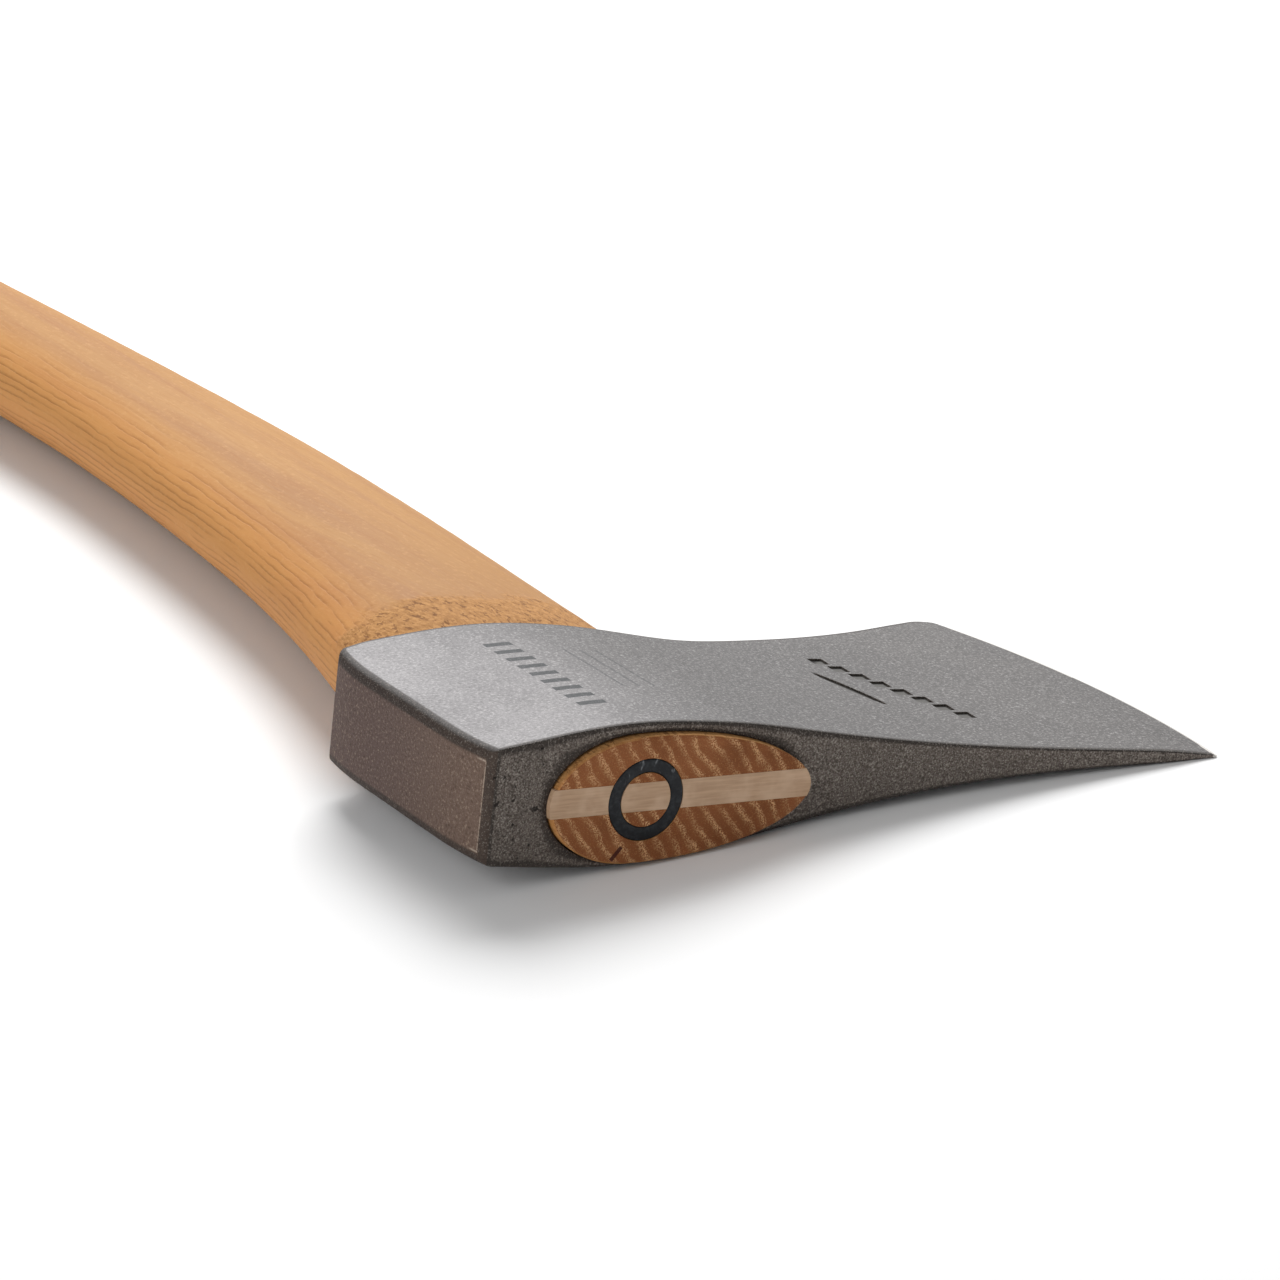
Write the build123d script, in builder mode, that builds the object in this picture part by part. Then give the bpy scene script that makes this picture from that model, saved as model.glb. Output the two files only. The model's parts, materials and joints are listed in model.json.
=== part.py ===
from build123d import *
import os
from math import atan2, cos, sin, sqrt, tan

os.makedirs("parts", exist_ok=True)

# Splitting axe lying on a table: a forged head on a curved hickory handle,
# locked with a wooden wedge and a round steel wedge.
#
# Sizes are in millimetres. The axe rests on one cheek and on the toe of its
# bit, so the table is Z = 0. +Y runs along the handle from the head to the
# knob, and +X points from the poll to the bit. The origin is on the table,
# under the middle of the axe.
#
# Every shape is drawn in the head's own directions:
#   reach  from the poll face towards the cutting edge
#   drop   from the head's top, along the handle, towards the knob
#   rise   out of the upper cheek, measured from the head's mid-plane

# ---- Driving dimensions: head ----------------------------------------------
head_length = 194.5        # poll face to the foremost point of the edge
poll_height = 71.5         # head's top to its underside at the poll
poll_thickness = 26.0
poll_flat_inset = 18.0     # the striking face is flat between its eased ends
poll_ease = 2.2            # how far those ends fall back
poll_chamfer = 1.0
cheek_thickness = 32.8     # beside the eye, where the head is thickest
cheek_reach = 41.0
rest_thickness = 29.6      # where the cheek touches the table
rest_reach = 61.0
neck_thickness = 21.4      # where the eye ends and the blade begins
neck_reach = 86.0
blade_thickness = 8.8      # in the middle of the blade
blade_reach = 131.0
edge_thickness = 0.6
edge_radius = 240.0        # curve of the cutting edge
edge_apex_drop = 23.0      # drop of the foremost point of the edge
grind_width = 40.0         # ground bevel behind the edge
grind_thickness = 8.6      # thickness at which the bevel would end
toe_lift = 8.5             # toe, above the head's top
heel_flare = 27.5          # heel, below the head's underside
heel_round = 7.0           # rounding of the heel's corner
waist_sag = 2.6            # dip of the top line behind the blade
waist_reach = 79.0
lug_start = 10.0            # lugs on the underside, beside the eye
lug_length = 42.0
lug_depth = 2.0

# ---- Driving dimensions: eye and wedges ------------------------------------
eye_start = 17.3           # reach of the eye's rear end
eye_rise = -0.8            # the eye is punched a little off the mid-plane
eye_length = 67.5
eye_width = 29.4
eye_fullness = 0.33        # where it is widest, as a share of its length
eye_clearance = 0.05       # steel to wood, all round
wood_proud = 0.8           # end grain above the head's top
kerf_depth = 50.0
kerf_offset = 0.7          # the kerf runs a little above the eye's middle
wedge_thickness = 6.6      # at the end grain
wedge_tip_thickness = 1.6
wedge_tip_gap = 2.0        # bottom of the kerf, left empty
wedge_clearance = 0.03
ring_diameter = 19.0
ring_bore = 12.6
ring_length = 22.0
ring_taper_length = 7.0
ring_rim = 1.0             # wall at the driving end
ring_reach = 41.7
ring_clearance = 0.03

# ---- Driving dimensions: handle --------------------------------------------
handle_length = 722.0      # head's top to the knob's end
handle_setback = 1.3       # the handle's middle, behind the eye's
shoulder_gap = 0.1         # head's underside to the wood's shoulder
shoulder_width = 74.4
shoulder_thickness = 31.6
waist_width = 56.0         # a quarter of the way down
waist_thickness = 28.2
grip_width = 38.0
grip_thickness = 26.6
knob_width = 50.0
knob_thickness = 29.6
knob_length = 46.0
knob_round = 5.0           # rounding of the knob's end
bow = 13.5                 # how far the handle bows towards the bit

# ---- How the axe lies ------------------------------------------------------
edge_centre_reach = head_length - edge_radius
heel_drop = poll_height + heel_flare


def edge_reach(drop):
    """Reach of the cutting edge at a given drop."""
    return edge_centre_reach + sqrt(edge_radius**2 - (drop - edge_apex_drop) ** 2)


toe_reach = edge_reach(-toe_lift)
heel_reach = edge_reach(heel_drop)
blade_length = heel_reach - neck_reach
lean = atan2((rest_thickness - edge_thickness) / 2, toe_reach - rest_reach)
rest_height = rest_thickness / 2 * cos(lean) + rest_reach * sin(lean)

reach_dir = Vector(cos(lean), 0, -sin(lean))
rise_dir = Vector(sin(lean), 0, cos(lean))
mid = Plane(
    origin=(-head_length * cos(lean) / 2, (toe_lift - handle_length) / 2, rest_height),
    x_dir=reach_dir,
    z_dir=rise_dir,
)


def across(reach, drop, rise=0.0):
    """Plane square to the handle, facing the head's top: X is reach, Y is rise."""
    return Plane(
        origin=mid.from_local_coords((reach, drop, rise)),
        x_dir=reach_dir,
        z_dir=-mid.y_dir,
    )


def lengthwise(reach):
    """Plane square to the reach, facing the bit: X is drop, Y is rise from the
    eye's middle."""
    return Plane(
        origin=mid.from_local_coords((reach, 0, eye_rise)),
        x_dir=mid.y_dir,
        z_dir=reach_dir,
    )


def oval(drop, rear, front, thickness, fullness, rise=0.0):
    """Two half ellipses joined where the section is thickest."""
    widest = rear + fullness * (front - rear)
    with BuildSketch(across(widest, drop, rise), mode=Mode.PRIVATE) as section:
        with BuildLine():
            EllipticalCenterArc((0, 0), widest - rear, thickness / 2, 90, arc_size=180)
            EllipticalCenterArc((0, 0), front - widest, thickness / 2, -90, arc_size=180)
        make_face()
    return section.sketch


def eye_oval(drop, clearance=0.0):
    """The eye's section, drawn in from the steel by the clearance."""
    return oval(
        drop,
        eye_start + clearance,
        eye_start + eye_length - clearance,
        eye_width - 2 * clearance,
        eye_fullness,
        eye_rise,
    )


# ---- Forged head -----------------------------------------------------------
# Side outline, seen square to the cheek. The blade runs on past the cutting
# edge, which is ground to its curve below.
overrun = 15.0
underside = poll_height + lug_depth
under_neck = (neck_reach, poll_height - 0.5)
with BuildSketch(mid) as head_outline:
    with BuildLine():
        top_line = Line((poll_ease, 0), (waist_reach, waist_sag))
        blade_top = TangentArc(top_line @ 1, (toe_reach, -toe_lift), tangent=(1, 0))
        toe_run = Line(blade_top @ 1, blade_top @ 1 + (blade_top % 1) * overrun)
        lug = Line((lug_start, underside), (lug_start + lug_length, underside))
        Line((poll_ease, poll_height), lug @ 0)
        Spline(lug @ 1, under_neck, tangents=[(1, 0), (1, 0)])
        blade_under = Spline(
            under_neck,
            (neck_reach + 0.23 * blade_length, poll_height + 0.135 * heel_flare),
            (neck_reach + 0.63 * blade_length, poll_height + 0.5 * heel_flare),
            (heel_reach - heel_round, heel_drop - heel_round / 2),
            tangents=[(1, 0), (1, 0.5)],
        )
        round_end_drop = heel_drop - heel_round
        round_end = (edge_reach(round_end_drop), round_end_drop)
        heel_arc = TangentArc(blade_under @ 1, round_end, tangent=blade_under % 1)
        heel_run = Line(round_end, (head_length + overrun, round_end_drop))
        Line(toe_run @ 1, heel_run @ 1)
        poll_face = Line((0, poll_flat_inset), (0, poll_height - poll_flat_inset))
        TangentArc(poll_face @ 0, top_line @ 0, tangent=(0, -1))
        TangentArc(poll_face @ 1, (poll_ease, poll_height), tangent=(0, 1))
    make_face()

with BuildPart() as axe_head:
    extrude(head_outline.sketch, amount=cheek_thickness, both=True)
    # Plan section: full beside the eye, hollowed into the blade. Where the
    # table touches it, the cheek runs along the table.
    with BuildSketch(across(0, 0)):
        with BuildLine():
            along_table = (1, -tan(lean))
            poll_corner = (0, poll_thickness / 2)
            rest_point = (rest_reach, rest_thickness / 2)
            run_end = (head_length + overrun, edge_thickness / 2)
            eye_cheek = Spline(
                poll_corner,
                (cheek_reach, cheek_thickness / 2),
                rest_point,
                tangents=[(1, 0.1), along_table],
            )
            blade_cheek = Spline(
                rest_point,
                (neck_reach, neck_thickness / 2),
                (blade_reach, blade_thickness / 2),
                run_end,
                tangents=[along_table, (1, -0.05)],
            )
            mirror([eye_cheek, blade_cheek], about=Plane.XZ)
            Line(poll_corner, (0, -poll_thickness / 2))
            Line(run_end, (head_length + overrun, -edge_thickness / 2))
        make_face()
    extrude(amount=2 * heel_drop, both=True, mode=Mode.INTERSECT)
    # The bit is ground in an arc about a far centre, bevelled from both sides.
    grind = across(edge_centre_reach, edge_apex_drop)
    with BuildSketch(grind):
        with BuildLine():
            grind_start = edge_radius - grind_width
            Polyline(
                (0, cheek_thickness),
                (grind_start, cheek_thickness),
                (grind_start, grind_thickness / 2),
                (edge_radius, edge_thickness / 2),
                (edge_radius, -edge_thickness / 2),
                (grind_start, -grind_thickness / 2),
                (grind_start, -cheek_thickness),
                (0, -cheek_thickness),
                close=True,
            )
        make_face()
    revolve(axis=Axis(grind.origin, rise_dir), mode=Mode.INTERSECT)
    extrude(eye_oval(0), amount=2 * heel_drop, both=True, mode=Mode.SUBTRACT)
    # The poll's edges are broken all round, but not the two lines where its
    # flat face runs into its eased ends.
    poll_edges = axe_head.edges().filter_by(
        lambda edge: mid.to_local_coords(edge.center()).X < poll_ease + 0.1
    )
    face_ends = poll_edges.filter_by(
        lambda edge: mid.to_local_coords(edge.center()).X < poll_ease / 100
        and abs((edge % 0.5).dot(rise_dir)) > 0.9
    )
    chamfer(poll_edges - face_ends, poll_chamfer)
axe_head.part.label = "axe_head"

# ---- Round steel wedge -----------------------------------------------------
# A short tube, bevelled outside to a thin driving rim, flush with the end grain.
grain_end = -wood_proud
ring_axis = Axis(lengthwise(ring_reach).origin, (0, 1, 0))


def ring_outline(clearance):
    """Half section of the round wedge, swelled by the clearance for its groove."""
    inner = ring_bore / 2 - clearance
    outer = ring_diameter / 2 + clearance
    rim = ring_bore / 2 + ring_rim + clearance
    end = grain_end + ring_length + clearance
    taper = grain_end + ring_length - ring_taper_length
    with BuildSketch(lengthwise(ring_reach), mode=Mode.PRIVATE) as section:
        with BuildLine():
            Polyline(
                (grain_end, inner),
                (grain_end, outer),
                (taper, outer),
                (end, rim),
                (end, inner),
                close=True,
            )
        make_face()
    return section.sketch


with BuildPart() as ring_wedge:
    revolve(ring_outline(0), axis=ring_axis)
ring_wedge.part.label = "ring_wedge"

# ---- Wooden wedge ----------------------------------------------------------


def kerf_plate(clearance, bottom):
    """Tapered section of the kerf, from above the end grain to its bottom."""
    narrowing = (wedge_thickness - wedge_tip_thickness) / 2 / kerf_depth
    half_top = wedge_thickness / 2 + clearance
    half_bottom = half_top - narrowing * (bottom - grain_end)
    with BuildSketch(lengthwise(eye_start), mode=Mode.PRIVATE) as section:
        with BuildLine():
            Polyline(
                (grain_end, kerf_offset + half_top),
                (bottom, kerf_offset + half_bottom),
                (bottom, kerf_offset - half_bottom),
                (grain_end, kerf_offset - half_top),
                close=True,
            )
        make_face()
    return section.sketch


# It fills the kerf from end to end of the eye and is sawn off with the handle.
kerf_bottom = grain_end + kerf_depth
with BuildPart() as wood_wedge:
    extrude(kerf_plate(0, kerf_bottom - wedge_tip_gap), amount=eye_length)
    tongue = eye_oval(0, eye_clearance)
    extrude(tongue, amount=kerf_depth, both=True, mode=Mode.INTERSECT)
    revolve(ring_outline(ring_clearance), axis=ring_axis, mode=Mode.SUBTRACT)
wood_wedge.part.label = "wood_wedge"

# ---- Hickory handle --------------------------------------------------------
# Lofted through ovals from inside the head to the knob. Each station gives the
# share of the handle's free length, the middle of the section, its width, its
# thickness and its fullness.
handle_middle = eye_start + eye_length / 2 - handle_setback
free_length = handle_length - poll_height
knob_share = 1 - knob_length / free_length
stations = [
    (-0.02, handle_middle - 2.9, shoulder_width + 1, shoulder_thickness, eye_fullness),
    (0.06, handle_middle + 3.2, shoulder_width - 5.4, shoulder_thickness - 0.4, 0.39),
    (0.14, handle_middle + 0.7 * bow, shoulder_width - 12.8, waist_thickness + 1, 0.43),
    (0.24, handle_middle + bow, waist_width, waist_thickness, 0.45),
    (0.36, handle_middle + bow, waist_width - 7.8, waist_thickness - 0.4, 0.47),
    (0.51, handle_middle + 0.6 * bow, grip_width + 6.4, waist_thickness - 0.8, 0.5),
    (0.69, handle_middle + 0.2 * bow, grip_width + 1.5, grip_thickness, 0.5),
    (0.84, handle_middle + 0.2 * bow, grip_width, grip_thickness, 0.5),
    (knob_share, handle_middle + 0.6 * bow, knob_width - 8, knob_thickness - 2, 0.48),
    (1.0, handle_middle + 1.1 * bow, knob_width, knob_thickness, 0.45),
]
with BuildPart() as handle:
    loft(
        [
            oval(
                poll_height + share * free_length,
                middle - width / 2,
                middle + width / 2,
                thickness,
                fullness,
            )
            for share, middle, width, thickness, fullness in stations
        ]
    )
    knob_end = handle.faces().sort_by(Axis.Y)[-1]
    fillet(knob_end.edges(), knob_round)
    # The shoulder is scribed to the head's underside.
    extrude(
        head_outline.sketch.moved(Location((0, shoulder_gap, 0))),
        amount=cheek_thickness,
        both=True,
        mode=Mode.SUBTRACT,
    )
    # Tongue, slotted for the wooden wedge and grooved for the round one.
    extrude(eye_oval(grain_end, eye_clearance), amount=-(poll_height + 2 * wood_proud))
    extrude(
        kerf_plate(wedge_clearance, kerf_bottom),
        amount=eye_length,
        mode=Mode.SUBTRACT,
    )
    revolve(ring_outline(ring_clearance), axis=ring_axis, mode=Mode.SUBTRACT)
handle.part.label = "handle"

export_step(axe_head.part, "parts/axe_head.step")
export_step(handle.part, "parts/handle.step")
export_step(wood_wedge.part, "parts/wood_wedge.step")
export_step(ring_wedge.part, "parts/ring_wedge.step")
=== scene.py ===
import json
from math import atan2, cos, exp, hypot, log, pi, radians, sin, sqrt
import bpy
from mathutils import Matrix, Vector, noise


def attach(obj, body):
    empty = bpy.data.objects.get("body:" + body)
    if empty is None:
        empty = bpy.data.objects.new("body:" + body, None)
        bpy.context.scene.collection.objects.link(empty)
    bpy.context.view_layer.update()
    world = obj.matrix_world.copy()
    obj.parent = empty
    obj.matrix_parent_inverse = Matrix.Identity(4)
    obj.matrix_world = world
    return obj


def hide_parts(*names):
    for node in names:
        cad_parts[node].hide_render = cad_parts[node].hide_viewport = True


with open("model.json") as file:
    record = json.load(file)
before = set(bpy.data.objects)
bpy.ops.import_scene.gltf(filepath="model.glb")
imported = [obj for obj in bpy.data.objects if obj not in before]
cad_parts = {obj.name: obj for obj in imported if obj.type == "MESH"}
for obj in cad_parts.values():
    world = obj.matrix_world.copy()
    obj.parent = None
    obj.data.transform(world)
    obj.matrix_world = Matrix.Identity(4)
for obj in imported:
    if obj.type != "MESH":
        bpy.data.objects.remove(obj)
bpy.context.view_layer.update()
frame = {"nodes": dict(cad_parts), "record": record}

# ---- Studio ----------------------------------------------------------------
# The axe lies on a wide white sheet in a bright studio. A large soft panel
# hangs high behind it, and a weaker one stands to the left of the viewer.
scene = bpy.context.scene
scene.view_settings.view_transform = "Standard"
bpy.ops.object.select_all(action="DESELECT")

view_from = Vector((-0.63332, -1.30893, 0.46402))
view_right = Vector((0.85789525, -0.51365615, 0.01315662))
view_up = Vector((0.16728974, 0.30343, 0.9380535))
view_back = view_right.cross(view_up)
lens = bpy.data.cameras.new("camera")
lens.lens = 154.69
lens.sensor_width = 36.0
lens.clip_end = 100.0
camera = bpy.data.objects.new("camera", lens)
camera.matrix_world = Matrix.Translation(view_from) @ Matrix(
    (view_right, view_up, view_back)
).transposed().to_4x4()
scene.collection.objects.link(camera)
scene.camera = camera


def hang_panel(name, place, aim, size, power):
    """Hangs a square soft panel at a place, turned towards its aim."""
    light = bpy.data.lights.new(name, "AREA")
    light.shape = "RECTANGLE"
    light.size, light.size_y = size
    light.energy = power
    panel = bpy.data.objects.new(name, light)
    panel.matrix_world = Matrix.Translation(place) @ (
        (Vector(aim) - Vector(place)).to_track_quat("-Z", "Y").to_matrix().to_4x4()
    )
    panel.visible_camera = False
    scene.collection.objects.link(panel)


hang_panel("key_panel", (0.7, 0.95, 1.3), (0.0, -0.25, 0.0), (1.2, 1.2), 52.0)
hang_panel("fill_panel", (-1.7, -1.0, 1.0), (0.0, -0.2, 0.0), (1.4, 1.4), 14.0)

studio = bpy.data.worlds.new("studio")
studio.use_nodes = True
walls = studio.node_tree.nodes["Background"]
walls.inputs["Color"].default_value = (1.0, 1.0, 1.0, 1.0)
walls.inputs["Strength"].default_value = 0.3
scene.world = studio

bpy.ops.mesh.primitive_plane_add(size=60.0, location=(0.0, 0.0, 0.0))
floor = bpy.context.object
floor.name = "floor"
paper = bpy.data.materials.new("white_paper")
paper.use_nodes = True
sheet = paper.node_tree.nodes["Principled BSDF"]
sheet.inputs["Base Color"].default_value = (0.9, 0.9, 0.9, 1.0)
sheet.inputs["Roughness"].default_value = 0.9
floor.data.materials.append(paper)

# ---- Forged head -----------------------------------------------------------
# One steel forging: poll, eye, cheeks and bit. It is drop forged, blasted,
# and its cheeks are ground; the scale stays on its top, underside and poll.
# Everything is drawn in millimetres, along reach (poll to bit), drop (head's
# top to knob) and rise (out of the upper cheek), then laid on the table.
poll = next(m for m in frame["record"]["mounts"] if m["name"] == "poll_face")
lean = atan2(poll["axis"][2], -poll["axis"][0])
poll_height = 71.5
head_origin = Vector(poll["pos_m"]) - Vector((0.0, poll_height / 2000.0, 0.0))
lying = (
    Matrix.Translation(head_origin)
    @ Matrix.Rotation(lean, 4, "Y")
    @ Matrix.Scale(0.001, 4)
)

head_length = 194.5
neck_reach = 86.0
top_start, waist_reach, waist_sag = 2.2, 79.0, 2.6
toe_curve = 585.0
flat_start, flat_end = 18.0, 53.5
fall_curve, fall_run = 74.7, 12.0
edge_centre = (-45.5, 23.0)
edge_radius = 240.0
edge_half, edge_land = 0.12, 0.4
grind_width, grind_ease = 40.0, 0.12
grind_half, grind_slope = 0.3, 0.1
cheek_table = (
    (0.0, 13.0, 0.1),
    (15.2, 14.713, 0.1155),
    (30.46, 16.157, 0.061),
    (40.66, 16.406, -0.0171),
    (50.85, 15.836, -0.0867),
    (61.0, 14.8, -0.1103),
    (75.77, 12.583, -0.1793),
    (90.47, 9.905, -0.1738),
    (112.62, 6.505, -0.1328),
    (134.9, 4.043, -0.0876),
    (157.25, 2.512, -0.0527),
    (179.64, 1.533, -0.0382),
    (209.5, 0.3, -0.05),
)
underside_table = (
    (0.0, 70.94, 0.256),
    (9.4, 73.35, 0.256),
    (11.0, 73.5, 0.0),
    (52.0, 73.5, 0.0),
    (69.0, 72.25, -0.1145),
    (86.0, 71.0, 0.0),
    (95.8, 72.0, 0.2),
    (105.5, 74.44, 0.294),
    (124.7, 79.63, 0.2518),
    (150.3, 86.3, 0.2873),
    (169.1, 92.74, 0.42),
    (175.15, 95.5, 0.5),
    (190.0, 102.9, 0.5),
)
heel_centre = (178.15, 89.5)
heel_round = 6.7
eye_rear, eye_widest, eye_front, eye_half = 17.3, 39.575, 84.8, 14.7
eye_rise = -0.8
eye_ring_rear, eye_ring_front = 12.0, 88.0


def along(table, x):
    """Reads a curve drawn through points with given slopes."""
    for (x0, y0, s0), (x1, y1, s1) in zip(table, table[1:]):
        if x <= x1:
            break
    w = x1 - x0
    t = (x - x0) / w
    return (
        (1 + 2 * t) * (1 - t) ** 2 * y0
        + t * (1 - t) ** 2 * w * s0
        + t * t * (3 - 2 * t) * y1
        + t * t * (t - 1) * w * s1
    )


def head_top(reach):
    """Drop of the top line: a straight fall to the waist, then up to the toe."""
    if reach < waist_reach:
        fall = max(reach - top_start, 0.0)
        return waist_sag * fall / (waist_reach - top_start)
    return waist_sag - toe_curve + sqrt(toe_curve**2 - (reach - waist_reach) ** 2)


def underside(reach):
    """Drop of the underside."""
    return along(underside_table, reach)


def edge_reach(drop):
    """Reach of the cutting edge."""
    return edge_centre[0] + sqrt(edge_radius**2 - (drop - edge_centre[1]) ** 2)


def poll_ease(drop):
    """How far the striking face falls back towards its two ends."""
    beyond = max(flat_start - drop, drop - flat_end, 0.0)
    return fall_curve - sqrt(fall_curve**2 - beyond**2)


def behind_edge(reach, drop):
    """How far a point lies behind the cutting edge."""
    return edge_radius - hypot(reach - edge_centre[0], drop - edge_centre[1])


def half_thickness(reach, drop):
    """Half the head's thickness: the forged cheek, thinned by the grind."""
    ground = behind_edge(reach, drop)
    if ground < edge_land:
        return edge_half
    cheek, bevel = along(cheek_table, reach), grind_half + grind_slope * ground
    if ground > grind_width:
        return cheek
    return cheek - grind_ease * log(1 + exp((cheek - bevel) / grind_ease))


def forged(point):
    """Place in the head of a point of the blank: x and y run 0 to 1."""
    base, share = point.x * head_length, point.y
    follow = min(max((base - neck_reach) / (head_length - neck_reach), 0.0), 1.0)
    follow = follow * follow * (3 - 2 * follow)
    reach = base
    for _ in range(6):
        drop = head_top(reach) + share * (underside(reach) - head_top(reach))
        reach = base + follow * (edge_reach(drop) - head_length)
        reach += poll_ease(drop) * max(1 - base / fall_run, 0.0)
    out = (reach - heel_centre[0], drop - heel_centre[1])
    if out[0] > -3.0 and out[1] > 2.5 and hypot(*out) > heel_round:
        scale = heel_round / hypot(*out)
        reach = heel_centre[0] + out[0] * scale
        drop = heel_centre[1] + out[1] * scale
    return Vector((reach, drop, 2 * point.z * half_thickness(reach, drop)))


def pick(piece, kind, test):
    """Goes into edit mode with only the parts selected for which test holds."""
    bpy.ops.object.mode_set(mode="EDIT")
    bpy.ops.mesh.select_mode(type=kind)
    bpy.ops.mesh.select_all(action="DESELECT")
    bpy.ops.object.mode_set(mode="OBJECT")
    mesh = piece.data
    parts = {"VERT": mesh.vertices, "EDGE": mesh.edges, "FACE": mesh.polygons}[kind]
    for part in parts:
        part.select = test(part)
    bpy.ops.object.mode_set(mode="EDIT")


def cut(axis, places):
    """Cuts the whole piece square to an axis at each place."""
    for place in places:
        bpy.ops.mesh.select_all(action="SELECT")
        bpy.ops.mesh.bisect(
            plane_co=[place * (i == axis) for i in range(3)],
            plane_no=[float(i == axis) for i in range(3)],
        )


def move_points(piece, place, only_selected=False):
    """Puts every point, or every selected one, where place says; leaves edit mode."""
    bpy.ops.object.mode_set(mode="OBJECT")
    for v in piece.data.vertices:
        if v.select or not only_selected:
            v.co = place(v.co)


def apply_modifier(piece, kind, **settings):
    """Adds a modifier with these settings and applies it."""
    bpy.ops.object.mode_set(mode="OBJECT")
    bpy.ops.object.select_all(action="DESELECT")
    piece.select_set(True)
    bpy.context.view_layer.objects.active = piece
    modifier = piece.modifiers.new(kind.lower(), kind)
    for name, value in settings.items():
        setattr(modifier, name, value)
    bpy.ops.object.modifier_apply(modifier=modifier.name)


def face_outwards():
    """Turns every face of the active piece outwards."""
    bpy.ops.object.mode_set(mode="EDIT")
    bpy.ops.mesh.select_all(action="SELECT")
    bpy.ops.mesh.normals_make_consistent(inside=False)
    bpy.ops.object.mode_set(mode="OBJECT")


def lay_down(piece, name):
    """Lays a finished piece on the table and puts it in its CAD part's place."""
    bpy.ops.object.mode_set(mode="OBJECT")
    piece.data.transform(lying)
    piece.name = piece.data.name = name
    bpy.ops.object.select_all(action="DESELECT")
    piece.select_set(True)
    bpy.context.view_layer.objects.active = piece
    face_outwards()
    bpy.ops.object.shade_smooth_by_angle(angle=radians(40))
    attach(piece, "root")


def eye_long_half(towards_bit):
    """Half length of the eye's oval, on the bit's side or the poll's."""
    return eye_front - eye_widest if towards_bit else eye_widest - eye_rear


def eye_point(angle, clearance=0.0):
    """A point of the eye's oval: two half ellipses joined at its widest."""
    return (
        eye_widest + (eye_long_half(cos(angle) > 0) - clearance) * cos(angle),
        eye_rise + (eye_half - clearance) * sin(angle),
    )


def eye_edge(co):
    """Where a point of the cut-out round the eye goes on the eye's oval."""
    towards_bit = co.x > eye_widest
    side = abs((eye_ring_front if towards_bit else eye_ring_rear) - eye_widest)
    angle = atan2(co.z / half_thickness(co.x, co.y), (co.x - eye_widest) / side)
    reach, rise = eye_point(angle)
    drop = head_top(reach) if co.y < poll_height / 2 else underside(reach)
    return Vector((reach, drop, rise))


bpy.ops.mesh.primitive_cube_add(size=1, location=(0.5, 0.5, 0.0))
head = bpy.context.object
bpy.ops.object.transform_apply(location=True)
bpy.ops.object.mode_set(mode="EDIT")
reach_cuts = [3.4, 6.2, 9.0, 12.0] + [12.0 + 3.04 * i for i in range(1, 26)]
reach_cuts += [91.0 + 3.1 * i for i in range(32)] + [190.0, 192.0, 193.4, 194.1]
cut(0, [reach / head_length for reach in reach_cuts if reach < 194.2])
cut(1, [i / 28 for i in range(1, 28)])
cut(2, [-1 / 3, -1 / 6, 0.0, 1 / 6, 1 / 3])
move_points(head, forged)


def over_eye(face):
    """Whether a face of the head's top or underside lies over the eye."""
    reaches = [head.data.vertices[v].co.x for v in face.vertices]
    return (
        abs(face.normal.y) > 0.7
        and min(reaches) > eye_ring_rear - 0.1
        and max(reaches) < eye_ring_front + 0.1
    )


pick(head, "FACE", over_eye)
bpy.ops.mesh.delete(type="FACE")
bpy.ops.object.mode_set(mode="OBJECT")
uses = {}
for face in head.data.polygons:
    for key in face.edge_keys:
        uses[key] = uses.get(key, 0) + 1
pick(head, "EDGE", lambda edge: uses.get(edge.key) == 1)
bpy.ops.mesh.extrude_edges_move()
move_points(head, eye_edge, only_selected=True)
bpy.ops.object.mode_set(mode="EDIT")
bpy.ops.mesh.bridge_edge_loops(number_cuts=12)
face_outwards()

# Its edges are broken with a grinder: wider round the poll, narrow elsewhere.
poll_break, edge_break = 1.9, 0.42
crease, beside_edge = radians(38), 1.0
weights = head.data.attributes.new("bevel_weight_edge", "FLOAT", "EDGE")
normals = {}
for face in head.data.polygons:
    for key in face.edge_keys:
        normals.setdefault(key, []).append(face.normal.copy())
for edge in head.data.edges:
    ends = [head.data.vertices[v].co for v in edge.vertices]
    middle = (ends[0] + ends[1]) / 2
    at_bit = behind_edge(middle.x, middle.y) < beside_edge
    faces = normals[edge.key]
    if len(faces) == 2 and faces[0].angle(faces[1]) > crease and not at_bit:
        round_poll = max(e.x for e in ends) < 2.4
        weights.data[edge.index].value = 1.0 if round_poll else edge_break / poll_break
steel = bpy.data.materials.new("forged_steel")
steel.use_nodes = True
head.data.materials.append(steel)
head.data.materials.append(steel)
apply_modifier(
    head,
    "BEVEL",
    limit_method="WEIGHT",
    width=poll_break,
    segments=2,
    material=1,
    use_clamp_overlap=False,
)
apply_modifier(head, "SUBSURF", levels=1, render_levels=1)


def eye_wall(co):
    """Keeps the eye's wall on its oval."""
    ahead, above = co.x - eye_widest, co.z - eye_rise
    angle = atan2(above / eye_half, ahead / eye_long_half(ahead > 0))
    reach, rise = eye_point(angle)
    if hypot(ahead, above) < hypot(reach - eye_widest, rise - eye_rise):
        return Vector((reach, co.y, rise))
    return co


move_points(head, eye_wall)
# Points of the broken edges (1) and of the cutting edge (2) are marked here; the
# steel's colour paints highlights and a darker band along them.
edge_glint = head.data.attributes.new("edge_glint", "FLOAT", "POINT")
for face in head.data.polygons:
    at_bit = behind_edge(face.center.x, face.center.y) < beside_edge
    for v in face.vertices:
        if face.material_index == 1:
            edge_glint.data[v].value = 1.0
        elif at_bit and abs(face.center.z) < 0.6:
            edge_glint.data[v].value = 2.0
    face.material_index = 0
head.data.materials.pop(index=1)

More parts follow.
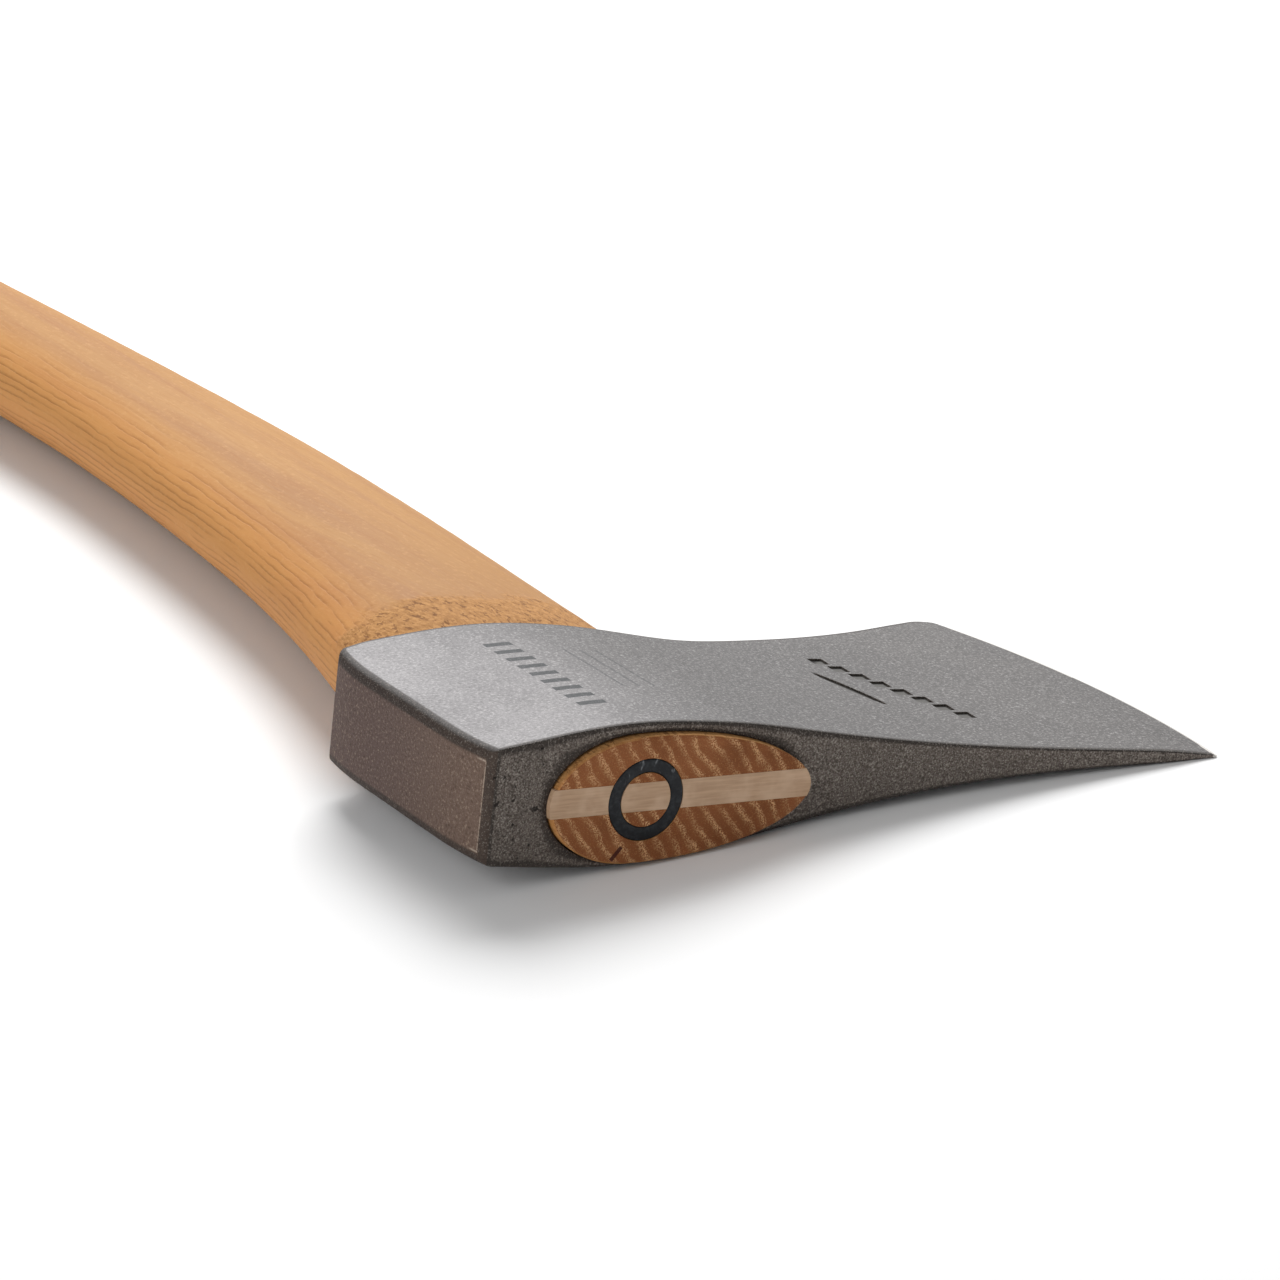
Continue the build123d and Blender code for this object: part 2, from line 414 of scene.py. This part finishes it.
# A plain row of eight lozenges and a bar are punched into the upper cheek.
stamp_depth = 0.55
row_start, row_step, lozenge = (126.5, 62.0), (2.2, -5.6), (7.2, 6.4)
bar_place, bar = (121.5, 41.0), (27.0, 3.0)


def cheek_slope(reach):
    """Slope of the cheek along the head."""
    return (along(cheek_table, reach + 1) - along(cheek_table, reach - 1)) / 2


def punch(reach, drop, long, wide, corners, turn=0.0):
    """Makes a punch with a tapered point, standing in the upper cheek."""
    bpy.ops.mesh.primitive_cone_add(
        vertices=corners, radius1=0.42, radius2=0.5, depth=1.0, end_fill_type="NGON"
    )
    tool = bpy.context.object
    slope = Matrix.Rotation(-atan2(cheek_slope(reach), 1.0), 4, "Y")
    size = Matrix.Diagonal((wide, long, 2 * stamp_depth, 1.0))
    centre = Vector((reach, drop, half_thickness(reach, drop)))
    tool.data.transform(
        Matrix.Translation(centre) @ slope @ Matrix.Rotation(turn, 4, "Z") @ size
    )
    return tool


def cut_away(piece, tool):
    """Cuts a tool's shape out of a piece."""
    apply_modifier(
        piece, "BOOLEAN", operation="DIFFERENCE", object=tool, solver="EXACT"
    )


punches = [
    punch(
        row_start[0] + row_step[0] * i,
        row_start[1] + row_step[1] * i,
        *lozenge,
        4,
        radians(-45),
    )
    for i in range(8)
]
punches.append(punch(*bar_place, *bar, 24, radians(14)))
for tool in punches:
    cut_away(head, tool)
    bpy.data.objects.remove(tool)
# Points on the punches' walls and floors are marked; the steel's colour paints them
# nearly black as painted shade.
punched = head.data.attributes.new("punched", "FLOAT", "POINT")
for v in head.data.vertices:
    below = half_thickness(v.co.x, v.co.y) - v.co.z
    if 112 < v.co.x < 148 and 12 < v.co.y < 70 and 0.15 < below < 1.2:
        punched.data[v.index].value = 1.0
lay_down(head, "forged_head")
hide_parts("axe_head")


class Tone:
    """A shader socket. Arithmetic on it adds Math nodes; node adds any other."""

    tree = None

    def __init__(self, socket):
        self.socket = socket

    @classmethod
    def node(cls, kind, settings=None, sockets=None, out=0):
        """Adds a node: its settings first, then its sockets' values or links."""
        made = cls.tree.nodes.new("ShaderNode" + kind)
        for name, value in (settings or {}).items():
            setattr(made, name, value)
        for name, value in (sockets or {}).items():
            if isinstance(value, Tone):
                cls.tree.links.new(value.socket, made.inputs[name])
            else:
                made.inputs[name].default_value = value
        return cls(made.outputs[out])

    def maths(self, operation, *values):
        return self.node(
            "Math", {"operation": operation}, dict(enumerate((self, *values)))
        )

    def __add__(self, other):
        return self.maths("ADD", other)

    def __sub__(self, other):
        return self.maths("SUBTRACT", other)

    def __mul__(self, other):
        return self.maths("MULTIPLY", other)

    def __truediv__(self, other):
        return self.maths("DIVIDE", other)

    def __abs__(self):
        return self.maths("ABSOLUTE")

    def __gt__(self, other):
        return self.maths("GREATER_THAN", other)

    def __lt__(self, other):
        return self.maths("LESS_THAN", other)

    def __rsub__(self, other):
        return self.node("Math", {"operation": "SUBTRACT"}, {0: other, 1: self})

    __radd__ = __add__
    __rmul__ = __mul__

    def ease(self, low, high, to_low=0.0, to_high=1.0):
        """Goes smoothly from to_low to to_high as the tone goes low to high."""
        return self.node(
            "MapRange",
            {"interpolation_type": "SMOOTHSTEP"},
            {0: self, 1: low, 2: high, 3: to_low, 4: to_high},
        )


def blend(share, first, second):
    """A colour between two others, by share."""
    first, second = (c if isinstance(c, Tone) else (*c, 1.0) for c in (first, second))
    sockets = {0: share, 6: first, 7: second}
    return Tone.node("Mix", {"data_type": "RGBA"}, sockets, out=2)


def speckle(place, scale, detail=2.0, roughness=0.5, stretch=None):
    """Cloudy noise from 0 to 1, at so many cells a metre, drawn out if asked."""
    if stretch:
        sockets = {0: place, 1: stretch}
        place = Tone.node("VectorMath", {"operation": "MULTIPLY"}, sockets)
    return Tone.node(
        "TexNoise",
        None,
        {"Vector": place, "Scale": scale, "Detail": detail, "Roughness": roughness},
    )


def in_head():
    """Object coordinates turned back to the head's reach, drop and rise."""
    return Tone.node(
        "Mapping",
        {"vector_type": "TEXTURE"},
        {
            "Vector": Tone.node("TexCoord", out=3),
            "Location": head_origin,
            "Rotation": (0.0, lean, 0.0),
        },
    )


def split(vector):
    """The three parts of a vector."""
    parts = Tone.node("SeparateXYZ", None, {0: vector})
    return [Tone(parts.socket.node.outputs[i]) for i in range(3)]


def facing(direction):
    """How squarely the surface faces a direction, from -1 to 1."""
    sockets = {0: Tone.node("NewGeometry", out=1), 1: direction}
    return Tone.node("VectorMath", {"operation": "DOT_PRODUCT"}, sockets, out=1)


def within(value, low, high):
    """1 where a value lies between two limits, otherwise 0."""
    return (value > low) * (value < high)


def finish(material, colour, roughness, bumps, **constants):
    """Joins colour, roughness and bumps (height, distance, strength) to a shader."""
    shader = material.node_tree.nodes["Principled BSDF"]
    normal = None
    for height, distance, strength in bumps:
        sockets = {"Height": height, "Distance": distance, "Strength": strength}
        if normal:
            sockets["Normal"] = normal
        normal = Tone.node("Bump", None, sockets)
    links = {"Base Color": colour, "Roughness": roughness, "Normal": normal}
    for name, value in {**links, **constants}.items():
        if isinstance(value, Tone):
            material.node_tree.links.new(value.socket, shader.inputs[name])
        elif value is not None:
            shader.inputs[name].default_value = value


Tone.tree = steel.node_tree
place = in_head()
reach, drop, rise = split(place)
cheek_side = abs(facing((sin(lean), 0.0, cos(lean)))).ease(0.55, 0.9)
edge_glint_mask = Tone.node("Attribute", {"attribute_name": "edge_glint"}, out=2)
grit = speckle(place, 2600.0, 2.0, 0.6)
fine_grit = speckle(place, 5200.0, 1.0, 0.5)
grain = speckle(place, 1300.0, 3.0, 0.65)
speck = speckle(place, 1500.0, 2.0, 0.75)
cloud = speckle(place, 45.0, 4.0, 0.6)
smudge = speckle(place, 22.0, 3.0, 0.5, (0.6, 1.4, 1.0))
toward_bit = reach.ease(0.0, 0.075)
ground_colour = blend(toward_bit, (0.29, 0.28, 0.283), (0.125, 0.12, 0.118))
ground_colour = blend(reach.ease(0.11, 0.17), ground_colour, (0.13, 0.124, 0.121))
ground_colour = blend(cloud.ease(0.35, 0.7) * 0.3, ground_colour, (0.1, 0.096, 0.096))
ground_colour = blend(speck.ease(0.5, 0.72) * 0.45, ground_colour, (0.5, 0.485, 0.48))
ground_colour = blend(speck.ease(0.5, 0.3) * 0.32, ground_colour, (0.05, 0.048, 0.048))
scale_colour = blend(grain.ease(0.35, 0.6), (0.12, 0.102, 0.089), (0.21, 0.18, 0.158))
scale_colour = blend(smudge.ease(0.3, 0.7) * 0.5, scale_colour, (0.13, 0.108, 0.092))
scale_colour = blend(grit.ease(0.52, 0.68) * 0.7, scale_colour, (0.42, 0.385, 0.35))
scale_colour = blend(grit.ease(0.48, 0.34) * 0.5, scale_colour, (0.03, 0.025, 0.022))
poll_side = (reach < 0.0035) * (1.0 - cheek_side)
poll_colour = blend(drop.ease(0.0, 0.05), (0.2, 0.138, 0.108), (0.15, 0.106, 0.094))
poll_colour = blend(speck.ease(0.54, 0.7) * 0.6, poll_colour, (0.44, 0.34, 0.27))
poll_colour = blend(speck.ease(0.46, 0.32) * 0.5, poll_colour, (0.05, 0.036, 0.03))
scale_colour = blend(poll_side, scale_colour, poll_colour)
steel_colour = blend(cheek_side, scale_colour, ground_colour)
# The broken edges are painted darker than the faces beside them, with painted highlight
# speckles along them.
broken_edge = edge_glint_mask.ease(0.3, 1.0) * edge_glint_mask.ease(1.0, 1.3, 1.0, 0.0)
steel_colour = blend(broken_edge * 0.75, steel_colour, (0.045, 0.038, 0.034))
steel_colour = blend(
    broken_edge * grit.ease(0.56, 0.68) * 0.6, steel_colour, (0.3, 0.27, 0.24)
)
# Beside its broken edge, near the head's top, the poll face gets painted highlight
# speckles.
poll_rim_glint = edge_glint_mask.ease(0.02, 0.25) * edge_glint_mask.ease(0.35, 0.6, 1.0, 0.0) * grit.ease(0.35, 0.5)
poll_facing = (0.0 - facing((cos(lean), 0.0, -sin(lean)))).ease(0.6, 0.85)
poll_rim_glint = poll_rim_glint * poll_facing * drop.ease(0.003, 0.006, 1.0, 0.0)
steel_colour = blend(poll_rim_glint * 0.8, steel_colour, (0.55, 0.46, 0.38))
# A painted bright highlight line runs along the cutting edge.
steel_colour = blend(edge_glint_mask.ease(1.3, 2.0), steel_colour, (0.62, 0.6, 0.57))
# A plain hatched strip and three fine rules are etched beside the eye.
hatch = ((drop - 0.0155) / 0.0052).maths("FRACT") < 0.42
hatch = hatch * within(drop, 0.0155, 0.0613) * within(reach, 0.0325, 0.0395)
rules = ((reach - 0.05) / 0.0042).maths("FRACT") < 0.2
rules = rules * within(drop, 0.027, 0.053) * within(reach, 0.05, 0.0615)
etched = (hatch + rules * 0.45) * cheek_side * (rise > 0.0) * grit.ease(0.2, 0.4)
steel_colour = blend(etched * 0.8, steel_colour, (0.03, 0.034, 0.037))
# The punched recesses are painted nearly black, as painted shade.
steel_colour = blend(
    Tone.node("Attribute", {"attribute_name": "punched"}, out=2) * 0.85,
    steel_colour,
    (0.008, 0.007, 0.006),
)
pitted = speckle(place, 380.0, 2.0, 0.5).ease(0.65, 0.7)
pitted = pitted * within(reach, 0.003, 0.0165) * (drop < 0.002) * (1.0 - cheek_side)
steel_colour = blend(pitted * 0.8, steel_colour, (0.012, 0.01, 0.009))
steel_roughness = cheek_side.ease(0.0, 1.0, 0.64, 0.7) + (fine_grit - 0.5) * 0.2
finish(
    steel,
    steel_colour,
    steel_roughness,
    [
        (grain * (1.0 - cheek_side) - pitted, 0.0003, 0.8),
        (grit, 0.00012, 0.5),
    ],
    Metallic=cheek_side.ease(0.0, 1.0, 0.8, 0.5),
    **{"Specular IOR Level": 0.3, "Specular Tint": (0.7, 0.7, 0.7, 1.0)},
)

# ---- Hickory handle --------------------------------------------------------
# One piece of hickory, sawn to a curved blank, turned and sanded by belt. Its
# tongue is rasped to the eye, driven in from below and sawn off just proud of
# the head; beside the head its upper flat is left rough from the saw.
handle_length = 722.0
free_length = handle_length - poll_height
handle_middle = 49.75
eye_clearance = 0.05
wood_proud = 0.8
shoulder_gap = 0.1
bow = 13.5
knob_round = 5.0
stations = (
    (-0.02, handle_middle - 2.9, 75.4, 31.6, 0.33),
    (0.06, handle_middle + 3.2, 69.0, 31.2, 0.39),
    (0.14, handle_middle + 0.7 * bow, 61.6, 29.2, 0.43),
    (0.24, handle_middle + bow, 56.0, 28.2, 0.45),
    (0.36, handle_middle + bow, 48.2, 27.8, 0.47),
    (0.51, handle_middle + 0.6 * bow, 44.4, 27.4, 0.5),
    (0.69, handle_middle + 0.2 * bow, 39.5, 26.6, 0.5),
    (0.84, handle_middle + 0.2 * bow, 38.0, 26.6, 0.5),
    (0.929, handle_middle + 0.6 * bow, 42.0, 27.6, 0.48),
    (1.0, handle_middle + 1.1 * bow, 50.0, 29.6, 0.45),
)


def station_at(share):
    """The handle's section at a share of its free length, between stations."""
    values, last = [], len(stations) - 1
    for column in range(1, 5):
        table = []
        for i, row in enumerate(stations):
            before, after = stations[max(i - 1, 0)], stations[min(i + 1, last)]
            slope = (after[column] - before[column]) / (after[0] - before[0])
            table.append((row[0], row[column], slope))
        values.append(along(table, share))
    return values


shoulder_share = 0.03
sections = {}


def turned(point):
    """Place in the handle of a point of a round blank, 0 to 1 along z."""
    share = round(point.z, 5)
    if share not in sections:
        sections[share] = station_at(share)
    middle, width, thickness, fullness = sections[share]
    to_end = (1 - share) * free_length
    inset = 0.0
    if to_end < knob_round:
        inset = knob_round - sqrt(max(knob_round**2 - (knob_round - to_end) ** 2, 0.0))
    rear, front = fullness * width, (1 - fullness) * width
    angle = atan2(point.y, point.x)
    reach = middle - width / 2 + rear
    reach += ((front if cos(angle) > 0 else rear) - inset) * cos(angle)
    drop = poll_height + share * free_length
    if share < shoulder_share:
        scribed = underside(reach) + shoulder_gap
        full = poll_height + shoulder_share * free_length
        drop = scribed + share / shoulder_share * (full - scribed)
    return Vector((reach, drop, (thickness / 2 - inset) * sin(angle)))


bpy.ops.mesh.primitive_cylinder_add(
    vertices=96, radius=1.0, depth=1.0, end_fill_type="NGON", location=(0.0, 0.0, 0.5)
)
handle = bpy.context.object
bpy.ops.object.transform_apply(location=True)
bpy.ops.object.mode_set(mode="EDIT")
cuts = [0.003, 0.008, 0.015, 0.022]
cuts += [shoulder_share + 0.0075 * i for i in range(129)]
knob_share = knob_round / free_length
cuts += [1 - knob_share * (1 - sin(radians(15 * i))) for i in range(6)]
cut(2, cuts)
move_points(handle, turned)
grip = handle.vertex_groups.new(name="grip")
grip.add([v.index for v in handle.data.vertices if v.co.y > 76.0], 1.0, "REPLACE")


def on_cap(face):
    """Whether a face is the shoulder's flat end."""
    return len(face.vertices) > 90 and face.center.y < 100


pick(handle, "FACE", on_cap)
bpy.ops.mesh.extrude_region()


def to_tongue(co):
    """Draws the shoulder's edge in to the tongue's oval."""
    middle, width, thickness, fullness = sections[0.0]
    centre = middle - width / 2 + fullness * width
    side = (1 - fullness) * width if co.x > centre else fullness * width
    angle = atan2(co.z / (thickness / 2), (co.x - centre) / side)
    reach, rise = eye_point(angle, eye_clearance)
    return Vector((reach, underside(reach) + shoulder_gap, rise))


move_points(handle, to_tongue, only_selected=True)
slack_from = 4.0


def up_the_eye(co):
    """Takes a ring of the tongue up to drop_to, a little slack at its upper rear."""
    slack = 0.0
    if drop_to == slack_from:
        out = Vector((co.x - eye_widest, co.z - eye_rise)).normalized()
        slack = 0.45 * max(0.5 * out.y - 0.86 * out.x, 0.0)
    shrink = 1 - slack / eye_half
    return Vector((
        eye_widest + (co.x - eye_widest) * shrink,
        drop_to,
        eye_rise + (co.z - eye_rise) * shrink,
    ))


for drop_to in (60.0, 48.0, 36.0, 24.0, 12.0, slack_from, 0.5, -0.45):
    bpy.ops.object.mode_set(mode="EDIT")
    bpy.ops.mesh.extrude_region()
    move_points(handle, up_the_eye, only_selected=True)
bpy.ops.object.mode_set(mode="EDIT")
bpy.ops.mesh.extrude_region()


def sawn_edge(co):
    """The sawn end, its rim rounded over and a little ragged."""
    ragged = 0.985 - 0.012 * abs(noise.noise(Vector((co.x * 0.7, co.z * 0.7, 0.0))))
    reach = eye_widest + (co.x - eye_widest) * ragged
    return Vector((reach, -wood_proud, eye_rise + (co.z - eye_rise) * (ragged - 0.01)))


move_points(handle, sawn_edge, only_selected=True)
face_outwards()

wedge_half, wedge_tip_half, kerf_depth, kerf_offset = 3.3, 0.8, 50.0, 0.7
ring_reach, ring_radius, bore_radius, ring_length = 41.7, 9.5, 6.3, 22.0
taper_length, driving_wall = 7.0, 1.0


def kerf_half(drop):
    """Half the width of the kerf, and of the wedge in it."""
    return wedge_half - (wedge_half - wedge_tip_half) * (drop + wood_proud) / kerf_depth


def make_tube(swell):
    """A round wedge standing in the eye: a tube with its lower end tapered."""
    bpy.ops.mesh.primitive_cylinder_add(
        vertices=72,
        radius=ring_radius + swell,
        depth=ring_length,
        end_fill_type="NGON",
        location=(ring_reach, ring_length / 2 - wood_proud, eye_rise),
        rotation=(pi / 2, 0.0, 0.0),
    )
    tube = bpy.context.object
    bpy.ops.object.transform_apply(location=True, rotation=True)
    pick(tube, "FACE", lambda face: len(face.vertices) > 4)
    bpy.ops.mesh.inset(thickness=ring_radius - bore_radius + 2 * swell)
    bpy.ops.mesh.delete(type="FACE")
    bpy.ops.object.mode_set(mode="OBJECT")

    def in_bore(edge):
        points = [tube.data.vertices[v].co for v in edge.vertices]
        outs = [hypot(co.x - ring_reach, co.z - eye_rise) for co in points]
        return max(outs) < bore_radius + 0.2

    pick(tube, "EDGE", in_bore)
    bpy.ops.mesh.bridge_edge_loops()
    cut(1, [ring_length - wood_proud - taper_length])
    rim = bore_radius + driving_wall + swell

    def taper(co):
        out = Vector((co.x - ring_reach, 0.0, co.z - eye_rise))
        if co.y > ring_length - wood_proud - 0.1 and out.length > bore_radius + 0.5:
            out = out.normalized() * rim
        return Vector((ring_reach + out.x, co.y, eye_rise + out.z))

    move_points(tube, taper)
    face_outwards()
    return tube


bpy.ops.mesh.primitive_cube_add(size=1, location=(0.5, 0.5, 0.0))
saw = bpy.context.object
bpy.ops.object.transform_apply(location=True)


def kerf_place(point):
    """Place in the head of a point of the saw."""
    drop = -wood_proud - 5.0 + (kerf_depth + 5.0) * point.y
    return Vector((
        eye_rear - 5.0 + 80.0 * point.x,
        drop,
        eye_rise + kerf_offset + 2 * point.z * (kerf_half(drop) + 0.04),
    ))


move_points(saw, kerf_place)
groove = make_tube(0.05)
cut_away(handle, saw)
cut_away(handle, groove)
bpy.data.objects.remove(saw)
lay_down(handle, "hickory_handle")
apply_modifier(
    handle,
    "SHRINKWRAP",
    target=frame["nodes"]["handle"],
    wrap_method="NEAREST_SURFACEPOINT",
    vertex_group="grip",
)
handle.vertex_groups.clear()
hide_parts("handle")

hickory = bpy.data.materials.new("hickory")
hickory.use_nodes = True
handle.data.materials.append(hickory)
Tone.tree = hickory.node_tree
place = in_head()
reach, drop, rise = split(place)
end_grain = (0.0 - facing((0.0, 1.0, 0.0))).ease(0.6, 0.9)
poll_flank = (0.0 - facing((cos(lean), 0.0, -sin(lean)))).ease(0.15, 0.75)
upper_side = facing((sin(lean), 0.0, cos(lean))).ease(0.2, 0.6)
# Along the handle: broad soft streaks on its flats, and close wavy lines of
# pores where the growth rings come out square on its poll side.
waver = (speckle(place, 32.0, 3.0, 0.6, (1.0, 0.3, 1.0)) - 0.5) * 0.0055
waver = waver + (speckle(place, 380.0, 2.0, 0.6, (1.0, 0.5, 1.0)) - 0.5) * 0.0007
line_phase = ((rise + reach * 0.16 + waver) / 0.0017).maths("FRACT")
pore_lines = line_phase.ease(0.0, 0.5, 1.0, 0.0) * line_phase.ease(0.0, 0.06)
broken = speckle(place, 260.0, 2.0, 0.6, (1.0, 0.12, 1.0)).ease(0.3, 0.6)
pore_lines = pore_lines * broken * (0.15 + 0.85 * poll_flank)
fibres = speckle(place, 1500.0, 3.0, 0.65, (1.0, 0.03, 1.0))
pores = speckle(place, 2600.0, 2.0, 0.6, (1.0, 0.06, 1.0))
streaks = speckle(place, 130.0, 3.0, 0.55, (1.0, 0.05, 1.0))
tone = speckle(place, 14.0, 3.0, 0.5, (1.0, 0.25, 1.0))
wood_colour = blend(tone.ease(0.3, 0.7), (0.385, 0.185, 0.052), (0.47, 0.24, 0.074))
wood_colour = blend(streaks.ease(0.42, 0.66) * 0.5, wood_colour, (0.34, 0.15, 0.056))
wood_colour = blend(fibres.ease(0.45, 0.75) * 0.3, wood_colour, (0.36, 0.15, 0.05))
wood_colour = blend(pores.ease(0.6, 0.75) * 0.3, wood_colour, (0.28, 0.11, 0.035))
# The handle's flank on the poll side is painted lighter and warmer, as painted light on
# its shaded side.
wood_colour = blend(poll_flank * 0.4, wood_colour, (0.8, 0.36, 0.12))
wood_colour = blend(pore_lines * 0.6, wood_colour, (0.28, 0.105, 0.03))
mottle = speckle(place, 900.0, 3.0, 0.7, (1.0, 0.5, 1.0))
wood_colour = blend(mottle.ease(0.5, 0.72) * 0.3, wood_colour, (0.6, 0.33, 0.13))
# Beside the head its upper flat is still rough from the saw.
ragged_limit = speckle(place, 110.0, 3.0, 0.6) * 0.024 + 0.086
rough = (ragged_limit - drop).ease(-0.002, 0.006) * upper_side * (1.0 - end_grain)
flecks = speckle(place, 760.0, 3.0, 0.7, (1.0, 0.4, 1.0)).ease(0.56, 0.62)
rough_colour = blend(mottle.ease(0.35, 0.65), (0.36, 0.175, 0.06), (0.52, 0.27, 0.1))
rough_colour = blend(flecks * 0.8, rough_colour, (0.14, 0.055, 0.018))
wood_colour = blend(rough * 0.85, wood_colour, rough_colour)
# The end grain shows its growth rings as rows of pale pores.
sway = speckle(place, 60.0, 3.0, 0.55) - 0.5
bent = sway * 0.005 + (speckle(place, 260.0, 2.0, 0.5) - 0.5) * 0.0018
ring_phase = ((reach * 0.8 + rise * 0.6 + bent) / 0.0034).maths("FRACT")
end_pores = speckle(place, 2700.0, 2.0, 0.75)
pale_row = ring_phase.ease(0.3, 0.8) * ring_phase.ease(0.8, 1.0, 1.0, 0.0)
pale_row = pale_row * speckle(place, 150.0, 2.0, 0.5).ease(0.3, 0.6, 0.25, 1.0)
pale_row = pale_row * end_pores.ease(0.44, 0.56)
end_colour = blend(sway.ease(-0.2, 0.2), (0.2, 0.066, 0.02), (0.28, 0.1, 0.035))
end_colour = blend(pale_row * 0.9, end_colour, (0.72, 0.42, 0.21))
end_colour = blend(end_pores.ease(0.55, 0.7) * 0.5, end_colour, (0.55, 0.27, 0.11))
# A short check, stained dark, runs in from the tongue's lower edge.
aside = abs((reach - 0.0367) * 0.778 - (rise + 0.0113) * 0.629)
inward = (reach - 0.0367) * 0.629 + (rise + 0.0113) * 0.778
check = (aside < 0.0005) * within(inward, -0.0038, 0.0)
end_colour = blend(check * 0.9, end_colour, (0.05, 0.008, 0.006))
wood_colour = blend(end_grain, wood_colour, end_colour)
finish(
    hickory,
    wood_colour,
    0.56 + fibres * 0.15 + rough * 0.2,
    [
        (0.0 - pore_lines, 0.00012, 0.5),
        (fibres, 0.00012, 0.35),
        (rough * speckle(place, 900.0, 3.0, 0.6, (1.0, 0.4, 1.0)), 0.0005, 0.9),
        (end_grain * end_pores, 0.0003, 0.7),
    ],
    **{"Specular IOR Level": 0.15},
)

# ---- Wooden wedge ----------------------------------------------------------
# A pale hardwood plate, tapered, driven into the tongue's kerf and sawn off
# with it. It fills the kerf across the whole eye.
tip_gap = 2.0


def eye_reach(rise, front):
    """Reach of the eye's wall at a given rise, at its front or its rear."""
    half = sqrt(max(1 - (rise / eye_half) ** 2, 0.0)) * eye_long_half(front)
    return eye_widest + (half if front else -half)


def wedge_place(point):
    """Place in the head of a point of the wedge's blank."""
    drop = -wood_proud + (kerf_depth - tip_gap) * point.y
    rise = kerf_offset + 2 * point.z * kerf_half(drop)
    rear = eye_reach(rise, False) + eye_clearance
    front = eye_reach(rise, True) - eye_clearance
    return Vector((rear + (front - rear) * point.x, drop, eye_rise + rise))


bpy.ops.mesh.primitive_cube_add(size=1, location=(0.5, 0.5, 0.0))
wedge = bpy.context.object
bpy.ops.object.transform_apply(location=True)
bpy.ops.object.mode_set(mode="EDIT")
cut(0, [i / 24 for i in range(1, 24)])
cut(1, [i / 16 for i in range(1, 16)])
cut(2, [-1 / 3, -1 / 6, 0.0, 1 / 6, 1 / 3])
move_points(wedge, wedge_place)
cut_away(wedge, groove)
bpy.data.objects.remove(groove)
lay_down(wedge, "wooden_wedge")
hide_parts("wood_wedge")
pale = bpy.data.materials.new("wedge_wood")
pale.use_nodes = True
wedge.data.materials.append(pale)
Tone.tree = pale.node_tree
place = in_head()
fibres = speckle(place, 1600.0, 3.0, 0.6, (0.06, 0.06, 1.0))
patch = speckle(place, 110.0, 3.0, 0.6)
pale_colour = blend(fibres.ease(0.3, 0.75), (0.4, 0.25, 0.148), (0.52, 0.34, 0.21))
pale_colour = blend(patch.ease(0.4, 0.65) * 0.5, pale_colour, (0.62, 0.43, 0.29))
finish(pale, pale_colour, 0.6, [(fibres, 0.0001, 0.4)])

# ---- Round steel wedge -----------------------------------------------------
# A short length of blackened steel tube, bevelled outside at its lower end,
# driven through tongue and wedge until it is flush with the end grain.
ring = make_tube(0.0)
blacked = bpy.data.materials.new("blackened_steel")
blacked.use_nodes = True
ring.data.materials.append(blacked)
apply_modifier(
    ring,
    "BEVEL",
    limit_method="ANGLE",
    angle_limit=radians(40),
    width=0.35,
    segments=3,
)
lay_down(ring, "round_wedge")
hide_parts("ring_wedge")
Tone.tree = blacked.node_tree
place = in_head()
rise = split(place)[2]
scratch = speckle(place, 700.0, 4.0, 0.7)
black_colour = blend(
    scratch.ease(0.4, 0.8), (0.006, 0.007, 0.009), (0.03, 0.034, 0.038)
)
# Pale patches on the ring's upper side: partly scuffs, partly a painted highlight.
scuffs_and_sheen = speckle(place, 420.0, 3.0, 0.7, (1.0, 1.0, 0.4)).ease(0.56, 0.66)
scuffs_and_sheen = scuffs_and_sheen * rise.ease(0.002, 0.007)
black_colour = blend(scuffs_and_sheen, black_colour, (0.16, 0.17, 0.18))
finish(
    blacked,
    black_colour,
    scratch * 0.3 + 0.25,
    [(scratch, 0.0001, 0.3)],
    Metallic=0.6,
)
